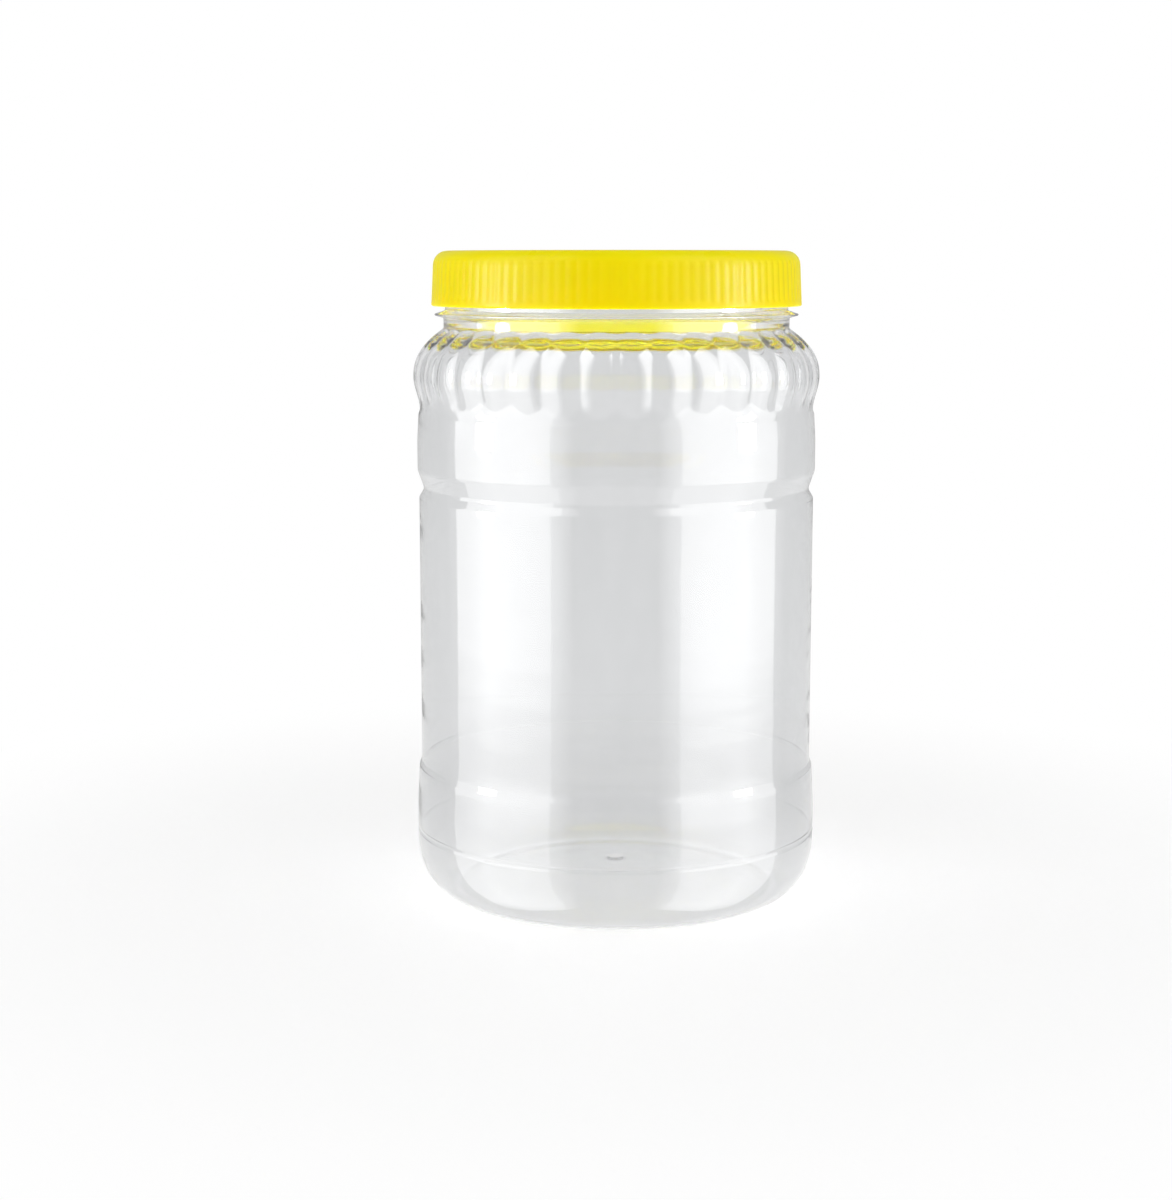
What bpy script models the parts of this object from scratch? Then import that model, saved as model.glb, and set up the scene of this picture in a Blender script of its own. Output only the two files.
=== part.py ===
"""Wide-mouth storage jar: a clear blown jar, a ribbed screw lid and the sealing disc between them.

Metres, +Z up. The origin is the centre of the ring that the jar stands on, and the jar's axis is +Z.
"""
import math

import bmesh
import bpy

# Closure size, which the neck, the lid and the body all follow
NECK_RADIUS = 0.0584

# Jar: overall sizes
BODY_HEIGHT = 0.195
SHOULDER_OVERHANG = 0.0109
BODY_WALL = 0.0008
FLUTE_COUNT = 36
STEPS_PER_FLUTE = 2

# Jar: base, from the middle outwards
PUSH_UP_HEIGHT = 0.0085
PUSH_UP_SHARES = (0.86, 0.5)
STANDING_RING_WIDTH = 0.0025
HEEL_WIDTH = 0.0123
HEEL_HEIGHT = 0.0195
HEEL_SHARES = (0.0, 0.3, 0.55, 0.8, 1.0)

# Jar: zones of the body above the heel, from below; the main panel takes what is left
BAND_HEIGHT = 0.0075
WAIST_HEIGHT = 0.0152
WAIST_SHARES = (0.0, 0.35, 0.7, 1.0)
LEDGE_HEIGHT = 0.004
LEDGE_REACH = 0.00065
PANEL_INSET = 0.0018
GROOVE_HEIGHT = 0.005
GROOVE_DEPTH = 0.0011
UPPER_PANEL_HEIGHT = 0.0214
UPPER_PANEL_INSET = 0.0011
UPPER_PANEL_EDGE_SHARE = 0.19

# Jar: shoulder, which is fluted
SHOULDER_HEIGHT = 0.030
SHOULDER_FOOT_INSET = 0.0021
BULGE_HEIGHT = 0.0138
CREST_POWER = 2.3
FLUTE_DEPTH = 0.0016
SHOULDER_UPPER_SHARES = (1.0, 0.9, 0.75, 0.55, 0.3, 0.0)
SHOULDER_LOWER_SHARES = (0.4, 0.75, 1.0)

# Jar: neck, from below
NECK_FOOT_FLARE = 0.0005
NECK_FOOT_HEIGHT = 0.0035
RING_HEIGHT = 0.0025
RING_REACH = 0.0035
RING_EDGE_HEIGHT = 0.0005
RING_SLOPE_SHARE = 0.5
FINISH_HEIGHT = 0.0162
NECK_WALL = 0.002
RIM_CHAMFER = 0.0005

# Jar: the thick wall at the neck's ring, which thins out down the shoulder and up the neck
RING_WALL = 0.0035
SHOULDER_WALL_GAIN = 0.0015
SHOULDER_WALL_FADE = 0.0073
BORE_TAPER_HEIGHT = 0.0025

# Screw thread, shared by the neck and the lid
THREAD_STARTS = 3
THREAD_PITCH = 0.00508
THREAD_DEPTH = 0.0016
THREAD_ROOT_WIDTH = 0.0022
THREAD_CREST_WIDTH = 0.001
THREAD_DROP = 0.0032
THREAD_FOOT_GAP = 0.0046
LID_THREAD_SHARE = 0.6
THREAD_STEPS_PER_TURN = 36
THREAD_RAMP_SHARE = 0.12
THREAD_END_SHARE = 0.3

# Lid
LID_TOP_THICKNESS = 0.002
LID_CORNER_RADIUS = 0.0048
LID_CORNER_STEPS = 4
LID_SKIRT_WALL = 0.0021
LID_SKIRT_DRAFT = 0.0004
LID_BAND_HEIGHT = 0.0028
LID_BAND_FLARE = 0.0005
LID_BAND_ROUND = 0.0005
LID_MOUTH_CHAMFER = 0.0007
GRIP_RIB_COUNT = 108
GRIP_GROOVE_DEPTH = 0.00045

# Sealing disc
LINER_THICKNESS = 0.0012

# Clearances, cutting allowances and tolerances
SEAT_GAP = 0.0003
LID_RING_GAP = 0.0015
THREAD_FLANK_GAP = 0.0003
THREAD_CLEARANCE = 0.0004
LINER_CLEARANCE = 0.0005
UNION_OVERLAP = 0.0004
LEVEL_TOLERANCE = 0.00002
MERGE_DISTANCE = 0.00005

# Jar: places worked out from the sizes above
ROUND_STEPS = FLUTE_COUNT * STEPS_PER_FLUTE
BODY_RADIUS = NECK_RADIUS + SHOULDER_OVERHANG
STANDING_RING_RADIUS = BODY_RADIUS - HEEL_WIDTH
BAND_TOP_Z = HEEL_HEIGHT + BAND_HEIGHT
LEDGE_FOOT_Z = BAND_TOP_Z + WAIST_HEIGHT
PANEL_BOTTOM_Z = LEDGE_FOOT_Z + LEDGE_HEIGHT
SHOULDER_FOOT_Z = BODY_HEIGHT - SHOULDER_HEIGHT
UPPER_PANEL_BOTTOM_Z = SHOULDER_FOOT_Z - UPPER_PANEL_HEIGHT
PANEL_TOP_Z = UPPER_PANEL_BOTTOM_Z - GROOVE_HEIGHT
PANEL_RADIUS = BODY_RADIUS - PANEL_INSET
UPPER_PANEL_RADIUS = BODY_RADIUS - UPPER_PANEL_INSET
SHOULDER_FOOT_RADIUS = BODY_RADIUS - SHOULDER_FOOT_INSET
BULGE_Z = SHOULDER_FOOT_Z + BULGE_HEIGHT
NECK_FOOT_RADIUS = NECK_RADIUS + NECK_FOOT_FLARE
NECK_BORE_RADIUS = NECK_RADIUS - NECK_WALL
RING_BOTTOM_Z = BODY_HEIGHT + NECK_FOOT_HEIGHT
RING_TOP_Z = RING_BOTTOM_Z + RING_HEIGHT
RIM_Z = RING_TOP_Z + FINISH_HEIGHT

# Thread: places worked out from the sizes above
THREAD_LEAD = THREAD_PITCH * THREAD_STARTS
NECK_THREAD_RISE = FINISH_HEIGHT - THREAD_DROP - THREAD_FOOT_GAP
NECK_THREAD_Z = RING_TOP_Z + THREAD_FOOT_GAP
LID_THREAD_RISE = NECK_THREAD_RISE * LID_THREAD_SHARE

# Lid and disc: places worked out from the sizes above
LINER_BOTTOM_Z = RIM_Z + SEAT_GAP
LINER_TOP_Z = LINER_BOTTOM_Z + LINER_THICKNESS
LID_UNDERSIDE_Z = LINER_TOP_Z + SEAT_GAP
LID_TOP_Z = LID_UNDERSIDE_Z + LID_TOP_THICKNESS
LID_BOTTOM_Z = RING_TOP_Z + LID_RING_GAP
LID_BORE_RADIUS = NECK_RADIUS + THREAD_DEPTH + THREAD_CLEARANCE
LID_SKIRT_RADIUS = LID_BORE_RADIUS + LID_SKIRT_WALL


def clear_scene():
    """Starts from nothing, without closing the file that this runs from."""
    for item in list(bpy.data.objects):
        bpy.data.objects.remove(item, do_unlink=True)


def make_collection(name):
    """A new collection in the scene."""
    collection = bpy.data.collections.new(name)
    bpy.context.scene.collection.children.link(collection)
    return collection


def make_material(name, colour, roughness, transmission=0.0):
    """A Principled material for one sub-part."""
    material = bpy.data.materials.new(name)
    material.use_nodes = True
    material.diffuse_color = (*colour, 1.0)
    shader = material.node_tree.nodes["Principled BSDF"]
    shader.inputs["Base Color"].default_value = (*colour, 1.0)
    shader.inputs["Roughness"].default_value = roughness
    shader.inputs["Metallic"].default_value = 0.0
    shader.inputs["Transmission Weight"].default_value = transmission
    return material


def add_object(name, mesh, collection, material=None):
    """Links a mesh to a collection as one named object."""
    item = bpy.data.objects.new(name, mesh)
    collection.objects.link(item)
    if material:
        mesh.materials.append(material)
    return item


def bake_modifiers(item):
    """Replaces an object's mesh with the result of its modifiers."""
    evaluated = item.evaluated_get(bpy.context.evaluated_depsgraph_get())
    mesh = bpy.data.meshes.new_from_object(evaluated)
    item.modifiers.clear()
    item.data = mesh


def turned(name, outline, steps, collection, material):
    """A body turned about Z from an outline of (radius, height) points that runs down its outer side."""
    mesh = bpy.data.meshes.new(name)
    points = [(radius, 0.0, height) for radius, height in outline]
    edges = [(index, index + 1) for index in range(len(points) - 1)]
    mesh.from_pydata(points, edges, [])
    item = add_object(name, mesh, collection, material)
    screw = item.modifiers.new("turn", "SCREW")
    screw.axis = "Z"
    screw.angle = math.tau
    screw.steps = steps
    screw.render_steps = steps
    screw.use_merge_vertices = True
    screw.merge_threshold = MERGE_DISTANCE
    bpy.context.view_layer.update()
    bake_modifiers(item)
    return item


def shade_round(item, sharp_angle):
    """Smooth shading, with edges sharper than the angle kept crisp."""
    item.data.shade_smooth()
    item.data.set_sharp_from_angle(angle=math.radians(sharp_angle))


def boolean(item, other, operation):
    """Joins or cuts one object with another, which stays as a hidden guide and moves with it."""
    step = item.modifiers.new(operation.lower(), "BOOLEAN")
    step.operation = operation
    step.solver = "EXACT"
    step.object = other
    other.hide_render = True
    other.display_type = "WIRE"
    other.parent = item


def quarter_round(centre_radius, centre_z, size, steps):
    """Outline points of a rounded edge, from its top round to its outer side."""
    points = []
    for step in range(steps + 1):
        angle = math.pi / 2 * (1 - step / steps)
        points.append((centre_radius + size * math.cos(angle), centre_z + size * math.sin(angle)))
    return points


def wall_at(height):
    """Thickness of the blown wall, which grows towards the neck's foot."""
    share = 1 - (BODY_HEIGHT - height) / SHOULDER_WALL_FADE
    return BODY_WALL + SHOULDER_WALL_GAIN * max(0.0, share)


def inner_outline(outline):
    """The inside of the blown wall: its outline moved to the right-hand side by the wall's thickness."""
    moved = []
    for index, (radius, height) in enumerate(outline):
        before = outline[max(index - 1, 0)]
        after = outline[min(index + 1, len(outline) - 1)]
        along = (after[0] - before[0], after[1] - before[1])
        wall = wall_at(height) / math.hypot(*along)
        moved.append((radius + along[1] * wall, height - along[0] * wall))
    return moved


def shoulder_crest(height):
    """Radius of the lobes' crests: a power curve from the neck to the bulge, then an easy curve inwards."""
    if height > BULGE_Z:
        share = (height - BULGE_Z) / (BODY_HEIGHT - BULGE_Z)
        return BODY_RADIUS - (BODY_RADIUS - NECK_FOOT_RADIUS) * share ** CREST_POWER
    share = (BULGE_Z - height) / BULGE_HEIGHT
    return BODY_RADIUS - SHOULDER_FOOT_INSET * (1 - math.cos(math.pi * share)) / 2


def shoulder_outline():
    """The crest line of the fluted shoulder, from the neck's foot down."""
    above = [BULGE_Z + (BODY_HEIGHT - BULGE_Z) * share for share in SHOULDER_UPPER_SHARES]
    below = [BULGE_Z - BULGE_HEIGHT * share for share in SHOULDER_LOWER_SHARES]
    return [(shoulder_crest(height), height) for height in above + below]


def body_outline():
    """The outside of the jar below its neck, from the neck's foot down to the axis under the base."""
    outline = shoulder_outline()
    edge = UPPER_PANEL_HEIGHT * UPPER_PANEL_EDGE_SHARE
    outline.append((UPPER_PANEL_RADIUS, SHOULDER_FOOT_Z - edge))
    outline.append((UPPER_PANEL_RADIUS, UPPER_PANEL_BOTTOM_Z + edge))
    outline.append((PANEL_RADIUS, UPPER_PANEL_BOTTOM_Z))
    outline.append((PANEL_RADIUS - GROOVE_DEPTH, (UPPER_PANEL_BOTTOM_Z + PANEL_TOP_Z) / 2))
    outline.append((PANEL_RADIUS, PANEL_TOP_Z))
    outline.append((PANEL_RADIUS, PANEL_BOTTOM_Z))
    for share in WAIST_SHARES:
        inset = (PANEL_INSET - LEDGE_REACH) * (1 - share) ** 2
        outline.append((BODY_RADIUS - inset, LEDGE_FOOT_Z - WAIST_HEIGHT * share))
    for share in HEEL_SHARES:
        across = HEEL_WIDTH * math.cos(math.pi / 2 * share)
        down = HEEL_HEIGHT * math.sin(math.pi / 2 * share)
        outline.append((STANDING_RING_RADIUS + across, HEEL_HEIGHT - down))
    push_up_radius = STANDING_RING_RADIUS - STANDING_RING_WIDTH
    outline.append((push_up_radius, 0.0))
    for share in PUSH_UP_SHARES:
        outline.append((push_up_radius * share, PUSH_UP_HEIGHT * (1 - share ** 2)))
    outline.append((0.0, PUSH_UP_HEIGHT))
    return outline


def neck_outline():
    """The outside of the neck, from the rim down past its ring."""
    edge_top_z = RING_TOP_Z - RING_HEIGHT * RING_SLOPE_SHARE
    edge_radius = NECK_RADIUS + RING_REACH
    return [
        (NECK_RADIUS - RIM_CHAMFER, RIM_Z),
        (NECK_RADIUS, RIM_Z - RIM_CHAMFER),
        (NECK_RADIUS, RING_TOP_Z),
        (edge_radius, edge_top_z),
        (edge_radius, edge_top_z - RING_EDGE_HEIGHT),
        (NECK_FOOT_RADIUS, RING_BOTTOM_Z),
    ]


def bore_outline():
    """The inside of the neck, from the thick wall behind its ring up to the rim."""
    return [
        (NECK_RADIUS - RING_WALL, RING_BOTTOM_Z),
        (NECK_RADIUS - RING_WALL, RING_TOP_Z),
        (NECK_BORE_RADIUS, RING_TOP_Z + BORE_TAPER_HEIGHT),
        (NECK_BORE_RADIUS, RIM_Z),
    ]


def flute_drop(angle, height):
    """How far the shoulder lies inside its crests: a lobe's round back, with a sharp valley at each side.

    The lobes run out into the round neck above them and the round groove below, in scalloped lines.
    """
    floor = NECK_FOOT_RADIUS if height > BULGE_Z else SHOULDER_FOOT_RADIUS
    across = (angle / math.tau * FLUTE_COUNT) % 1.0 * 2 - 1
    return min(FLUTE_DEPTH * across ** 2, shoulder_crest(height) - floor)


def cut_flutes(item):
    """Draws the turned shoulder in between its lobes, with twice as many columns on its outer side."""
    bm = bmesh.new()
    bm.from_mesh(item.data)

    def on_shoulder(vertex):
        return SHOULDER_FOOT_Z + LEVEL_TOLERANCE < vertex.co.z < BODY_HEIGHT - LEVEL_TOLERANCE

    def outside(vertex):
        return math.hypot(vertex.co.x, vertex.co.y) > shoulder_crest(vertex.co.z) - BODY_WALL / 2

    ring_edges = []
    for edge in bm.edges:
        one, other = edge.verts
        level = abs(one.co.z - other.co.z) < LEVEL_TOLERANCE
        if level and on_shoulder(one) and outside(one):
            ring_edges.append(edge)
    bmesh.ops.subdivide_edges(bm, edges=ring_edges, cuts=1, use_grid_fill=True)
    for vertex in bm.verts:
        if on_shoulder(vertex):
            x, y, z = vertex.co
            radius = math.hypot(x, y)
            full = shoulder_crest(z) if outside(vertex) else radius
            smaller = full - flute_drop(math.atan2(y, x), z)
            vertex.co = (x * smaller / radius, y * smaller / radius, z)
    bm.to_mesh(item.data)
    bm.free()


def thread_ridge(bm, root_radius, outward, start_angle, start_z, rise):
    """One right-hand ridge on a round wall, thinned at both ends so that it runs out of the wall.

    The ridge points outwards where outward is 1, and inwards where it is -1. It climbs by rise.
    """
    turn_share = rise / THREAD_LEAD
    steps = max(4, round(THREAD_STEPS_PER_TURN * turn_share))
    half_root = THREAD_ROOT_WIDTH / 2
    half_crest = THREAD_CREST_WIDTH / 2
    section = [(-UNION_OVERLAP, -half_root), (0.0, -half_root), (THREAD_DEPTH, -half_crest),
               (THREAD_DEPTH, half_crest), (0.0, half_root), (-UNION_OVERLAP, half_root)]
    rings = []
    for step in range(steps + 1):
        share = step / steps
        angle = start_angle + math.tau * turn_share * share
        size_share = min(1.0, THREAD_END_SHARE + min(share, 1 - share) / THREAD_RAMP_SHARE)
        ring = []
        for reach, height in section:
            radius = root_radius + outward * min(reach, reach * size_share)
            ring.append(bm.verts.new((radius * math.cos(angle), radius * math.sin(angle),
                                      start_z + rise * share + height * size_share)))
        rings.append(ring)
    count = len(section)
    for one, other in zip(rings, rings[1:]):
        for index in range(count):
            bm.faces.new((one[index], one[(index + 1) % count], other[(index + 1) % count], other[index]))
    bm.faces.new(rings[0])
    bm.faces.new(list(reversed(rings[-1])))


def thread_guide(name, root_radius, outward, first_angle, start_z, rise, collection):
    """All starts of one thread, as a hidden guide that is joined to a wall."""
    bm = bmesh.new()
    for start in range(THREAD_STARTS):
        angle = first_angle + math.tau * start / THREAD_STARTS
        thread_ridge(bm, root_radius, outward, angle, start_z, rise)
    bmesh.ops.recalc_face_normals(bm, faces=bm.faces)
    mesh = bpy.data.meshes.new(name)
    bm.to_mesh(mesh)
    bm.free()
    return add_object(name, mesh, collection)


def make_jar(parts, guides):
    """The one-piece jar: turned walls, fluted shoulder and the thread on its neck."""
    outside = body_outline()
    inside = inner_outline(outside)
    inside[-1] = (0.0, PUSH_UP_HEIGHT + BODY_WALL)
    outline = list(reversed(inside)) + bore_outline() + neck_outline() + outside
    material = make_material("clear_plastic", (0.86, 0.9, 0.91), 0.05, transmission=0.9)
    jar = turned("jar_body", outline, ROUND_STEPS, parts, material)
    cut_flutes(jar)
    thread = thread_guide("neck_thread_guide", NECK_RADIUS, 1, 0.0, NECK_THREAD_Z, NECK_THREAD_RISE, guides)
    boolean(jar, thread, "UNION")
    shade_round(jar, 25)


def lid_outline():
    """The lid's outline: over the top, down the skirt to its band, round the mouth and up the bore."""
    corner_radius = LID_SKIRT_RADIUS - LID_SKIRT_DRAFT - LID_CORNER_RADIUS
    corner_z = LID_TOP_Z - LID_CORNER_RADIUS
    band_top_z = LID_BOTTOM_Z + LID_BAND_HEIGHT
    band_radius = LID_SKIRT_RADIUS + LID_BAND_FLARE
    corner = quarter_round(corner_radius, corner_z, LID_CORNER_RADIUS, LID_CORNER_STEPS)
    return [(0.0, LID_TOP_Z)] + corner + [
        (LID_SKIRT_RADIUS, band_top_z),
        (band_radius, band_top_z - LID_BAND_FLARE),
        (band_radius, LID_BOTTOM_Z + LID_BAND_ROUND),
        (band_radius - LID_BAND_ROUND, LID_BOTTOM_Z),
        (LID_BORE_RADIUS + LID_MOUTH_CHAMFER, LID_BOTTOM_Z),
        (LID_BORE_RADIUS, LID_BOTTOM_Z + LID_MOUTH_CHAMFER),
        (LID_BORE_RADIUS, LID_UNDERSIDE_Z),
        (0.0, LID_UNDERSIDE_Z),
    ]


def grip_cutter(collection):
    """A ring of upright four-sided prisms, whose inner edges cut the V-shaped grooves between the ribs.

    They lean inwards with the skirt's draft, and run out where the lid's top edge rounds over.
    """
    bottom_z = LID_BOTTOM_Z + LID_BAND_HEIGHT
    top_z = LID_TOP_Z - LID_CORNER_RADIUS / 2
    lean = LID_SKIRT_DRAFT / (LID_TOP_Z - LID_CORNER_RADIUS - bottom_z)
    prism_radius = GRIP_GROOVE_DEPTH * 2
    bm = bmesh.new()
    for index in range(GRIP_RIB_COUNT):
        angle = math.tau * (index + 0.5) / GRIP_RIB_COUNT
        made = bmesh.ops.create_cone(bm, cap_ends=True, segments=4, radius1=prism_radius,
                                     radius2=prism_radius, depth=top_z - bottom_z)
        for vertex in made["verts"]:
            height = (top_z + bottom_z) / 2 + vertex.co.z
            middle = LID_SKIRT_RADIUS - GRIP_GROOVE_DEPTH + prism_radius - lean * (height - bottom_z)
            out = middle + vertex.co.x
            side = vertex.co.y
            vertex.co = (out * math.cos(angle) - side * math.sin(angle),
                         out * math.sin(angle) + side * math.cos(angle), height)
    mesh = bpy.data.meshes.new("grip_cutter")
    bm.to_mesh(mesh)
    bm.free()
    return add_object("grip_cutter", mesh, collection)


def make_lid(parts, guides):
    """The screw lid, with grip grooves outside and the thread's ridges inside.

    Each ridge lies just under a ridge of the neck, flank to flank, as it does on a lid that is screwed tight.
    """
    material = make_material("yellow_plastic", (0.93, 0.76, 0.0), 0.35)
    lid = turned("screw_lid", lid_outline(), ROUND_STEPS, parts, material)
    boolean(lid, grip_cutter(guides), "DIFFERENCE")
    flank_slope = (THREAD_ROOT_WIDTH - THREAD_CREST_WIDTH) / 2 / THREAD_DEPTH
    below = THREAD_ROOT_WIDTH - flank_slope * (LID_BORE_RADIUS - NECK_RADIUS) + THREAD_FLANK_GAP
    late = (NECK_THREAD_RISE - LID_THREAD_RISE) / 2
    thread = thread_guide("lid_thread_guide", LID_BORE_RADIUS, -1, math.tau * late / THREAD_LEAD,
                          NECK_THREAD_Z + late - below, LID_THREAD_RISE, guides)
    boolean(lid, thread, "UNION")
    shade_round(lid, 30)


def make_liner(parts):
    """The sealing disc that the lid presses on the rim."""
    bm = bmesh.new()
    radius = LID_BORE_RADIUS - LINER_CLEARANCE
    bmesh.ops.create_cone(bm, cap_ends=True, segments=ROUND_STEPS, radius1=radius, radius2=radius,
                          depth=LINER_THICKNESS)
    mesh = bpy.data.meshes.new("seal_liner")
    bm.to_mesh(mesh)
    bm.free()
    liner = add_object("seal_liner", mesh, parts, make_material("soft_yellow_plastic", (0.93, 0.78, 0.02), 0.5))
    liner.location = (0.0, 0.0, (LINER_BOTTOM_Z + LINER_TOP_Z) / 2)
    shade_round(liner, 30)


def main():
    """Builds the three pieces of the jar, closed."""
    clear_scene()
    parts = make_collection("storage_jar")
    guides = make_collection("guides")
    make_jar(parts, guides)
    make_lid(parts, guides)
    make_liner(parts)


main()
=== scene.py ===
"""Looks of the wide-mouth storage jar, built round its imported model.

Metres, +Z up. The jar's axis is +Z and its photographed front faces -Y. Outlines are lists of
(radius, height) points. The clear jar, the ribbed lid and the sealing disc each get a finer mesh.
"""
import math

import bpy
import numpy as np
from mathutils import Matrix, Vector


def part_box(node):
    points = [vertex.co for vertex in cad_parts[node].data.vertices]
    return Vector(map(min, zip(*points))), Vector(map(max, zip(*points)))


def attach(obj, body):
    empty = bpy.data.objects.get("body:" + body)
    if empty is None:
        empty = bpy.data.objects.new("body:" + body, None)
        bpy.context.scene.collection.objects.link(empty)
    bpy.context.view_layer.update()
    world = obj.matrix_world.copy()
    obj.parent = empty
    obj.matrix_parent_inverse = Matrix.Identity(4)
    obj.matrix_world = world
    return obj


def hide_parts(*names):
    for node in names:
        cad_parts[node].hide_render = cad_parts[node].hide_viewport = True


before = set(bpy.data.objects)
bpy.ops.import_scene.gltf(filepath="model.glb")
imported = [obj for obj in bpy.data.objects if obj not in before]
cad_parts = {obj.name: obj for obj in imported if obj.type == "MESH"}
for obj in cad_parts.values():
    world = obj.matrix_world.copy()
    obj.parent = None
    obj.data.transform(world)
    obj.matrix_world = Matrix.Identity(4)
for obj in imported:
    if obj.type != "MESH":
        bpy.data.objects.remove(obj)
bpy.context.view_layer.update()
jar_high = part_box("jar_body")[1]
lid_low, lid_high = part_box("screw_lid")
seal_low, seal_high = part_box("seal_liner")

# Photograph and camera
PHOTO_WIDTH = 1172
PHOTO_HEIGHT = 1200
FOCAL_LENGTH_PX = 2240.0
JAR_AXIS_PX = 616.1
CAMERA_DISTANCE = 0.7705
CAMERA_HEIGHT = 0.2172
CAMERA_PITCH = math.radians(8.58)
SENSOR_SIZE = 36.0

# Jar: heights and radii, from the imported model's size and the photograph
BODY_RADIUS = jar_high.x
RIM_Z = jar_high.z
NECK_RADIUS = BODY_RADIUS - 0.0109
RING_TOP_Z = RIM_Z - 0.0162
RING_BOTTOM_Z = RING_TOP_Z - 0.0025
SHOULDER_TOP_Z = RING_BOTTOM_Z - 0.0035
BULGE_Z = SHOULDER_TOP_Z - 0.0162
SHOULDER_FOOT_Z = SHOULDER_TOP_Z - 0.0275
GROOVE_Z = SHOULDER_TOP_Z - 0.0543
HEEL_TOP_Z = 0.0195
BAND_TOP_Z = 0.027
LEDGE_FOOT_Z = BAND_TOP_Z + 0.0152
LEDGE_TOP_Z = LEDGE_FOOT_Z + 0.004

# Jar: walls and neck
BODY_WALL = 0.0008
THICK_WALL_HEIGHT = 0.011
NECK_WALL = 0.002
RIM_ROUND = 0.0006
RIM_INNER_FILLET = 0.0004
RING_REACH = 0.0035
RING_TIP_DROP = 0.0014
RING_TIP_HALF_HEIGHT = 0.00025
RING_TIP_FILLET = 0.0003
RING_TOP_FILLET = 0.0005
RING_BOTTOM_FILLET = 0.0004
NECK_FOOT_FLARE = 0.0005
NECK_FOOT_FILLET = 0.0006

# Jar: shoulder and waist
SHOULDER_FOOT_INSET = 0.0021
CREST_POWER = 2.3
FLUTE_COUNT = 36
FLUTE_DEPTH = 0.001
FLUTE_END_BLEND = 0.0004
WAIST_INSET = 0.0005
WAIST_DROP = 0.0014
WAIST_FILLET = 0.001

# Jar: panels, groove and ledge
UPPER_PANEL_INSET = 0.0011
UPPER_PANEL_DROP = 0.01
UPPER_PANEL_FILLET = 0.01
PANEL_INSET = 0.0016
GROOVE_DEPTH = 0.0015
GROOVE_HALF_HEIGHT = 0.0006
GROOVE_FILLET = 0.0008
GROOVE_TOP_HEIGHT = 0.0062
GROOVE_TOP_FILLET = 0.004
GROOVE_BOTTOM_HEIGHT = 0.0032
GROOVE_BOTTOM_FILLET = 0.0012
LEDGE_REACH = 0.0008
LEDGE_HEIGHT = 0.0019
LEDGE_FOOT_REACH = 0.0002
LEDGE_FILLET = 0.001

# Jar: band, crease, heel and base
BAND_SHARES = (0.3, 0.6, 0.85)
CREASE_DEPTH = 0.00023
CREASE_TOP_HEIGHT = 0.004
CREASE_HEIGHT = 0.0031
CREASE_BOTTOM_HEIGHT = 0.002
CREASE_FILLET = 0.0009
HEEL_WIDTH = 0.0123
HEEL_STEPS = 14
STANDING_RING_WIDTH = 0.0025
PUSH_UP_HEIGHT = 0.0085
PUSH_UP_FILLET = 0.0008
PUSH_UP_SHARES = (0.965, 0.92, 0.86, 0.78, 0.68, 0.56, 0.43, 0.3, 0.18, 0.1)
GATE_RADIUS = 0.0028
GATE_FLOOR_SHARE = 0.7
GATE_HEIGHT = 0.0006
GATE_FILLET = 0.0006
GATE_FLOOR_FILLET = 0.0004

# Thread, shared by the neck and the lid
THREAD_STARTS = 3
THREAD_LEAD = 0.01524
THREAD_DEPTH = 0.0016
THREAD_ROOT_WIDTH = 0.0022
THREAD_CREST_WIDTH = 0.001
THREAD_FLAT_SHARE = 0.7
THREAD_FOOT_Z = RING_TOP_Z + 0.0046
THREAD_RISE = 0.0084
THREAD_RAMP_SHARE = 0.1
LID_THREAD_SHARE = 0.6
LID_THREAD_DROP = 0.00175

# Lid
LID_BAND_RADIUS = lid_high.x
LID_TOP_Z = lid_high.z
LID_BOTTOM_Z = lid_low.z
LID_SKIRT_RADIUS = LID_BAND_RADIUS - 0.0005
LID_BORE_RADIUS = LID_SKIRT_RADIUS - 0.0021
LID_DRAFT = 0.0004
LID_CORNER_RADIUS = 0.0048
LID_BAND_HEIGHT = 0.003
LID_TOP_THICKNESS = 0.002
LID_FOOT_FILLET = 0.0006
LID_BORE_FILLET = 0.0004
LID_WALL_MARGIN = 0.001
LID_BORE_MARGIN = 0.0002
RIB_COUNT = 108
RIB_GROOVE_DEPTH = 0.00015
RIB_GROOVE_POWER = 1.5
RIB_END_HEIGHT = 0.0016

# Sealing disc and the ring that the rim presses in it
SEAL_EDGE_FILLET = 0.0003
PRESS_DEPTH = 0.00015
PRESS_HALF_WIDTH = 0.0014
PRESS_FLOOR_HALF_WIDTH = 0.0008
PRESS_FILLET = 0.0004

# Jar: inner face of the thick neck, as (height above the shoulder's top, reach beyond NECK_RADIUS)
NECK_INNER_FACE = (
    (-0.0135, 0.0099),
    (-0.0107, 0.0091),
    (-0.0082, 0.0078),
    (-0.0060, 0.0060),
    (-0.0046, 0.0040),
    (-0.0034, 0.0018),
    (-0.0021, -0.0002),
    (-0.0010, -0.0010),
    (0.0002, -0.0015),
    (0.0017, -0.0023),
    (0.0032, -0.0030),
    (0.0045, -0.0032),
    (0.0080, -0.0020),
)

# Mesh fineness
JAR_COLUMNS = FLUTE_COUNT * 8
LID_COLUMNS = RIB_COUNT * 8
SEAL_COLUMNS = 180
THREAD_ROW_STEP = 0.00046
LID_ROW_STEP = 0.0006
SHOULDER_ROW_STEP = 0.001
PANEL_ROW_STEP = 0.006
ARC_STEP = math.radians(15)

# A corner this close to straight is left as it is
STRAIGHT_ANGLE = 0.01

# A moved point that is nearer to its line than this share of the distance lies in a loop
LOOP_SHARE = 0.9995

# Rows on the lid's side start this far above its foot
LID_ROW_MARGIN = 0.0001

# Where most of a noise pattern lies
PATTERN_LOW = 0.3
PATTERN_HIGH = 0.7

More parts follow.
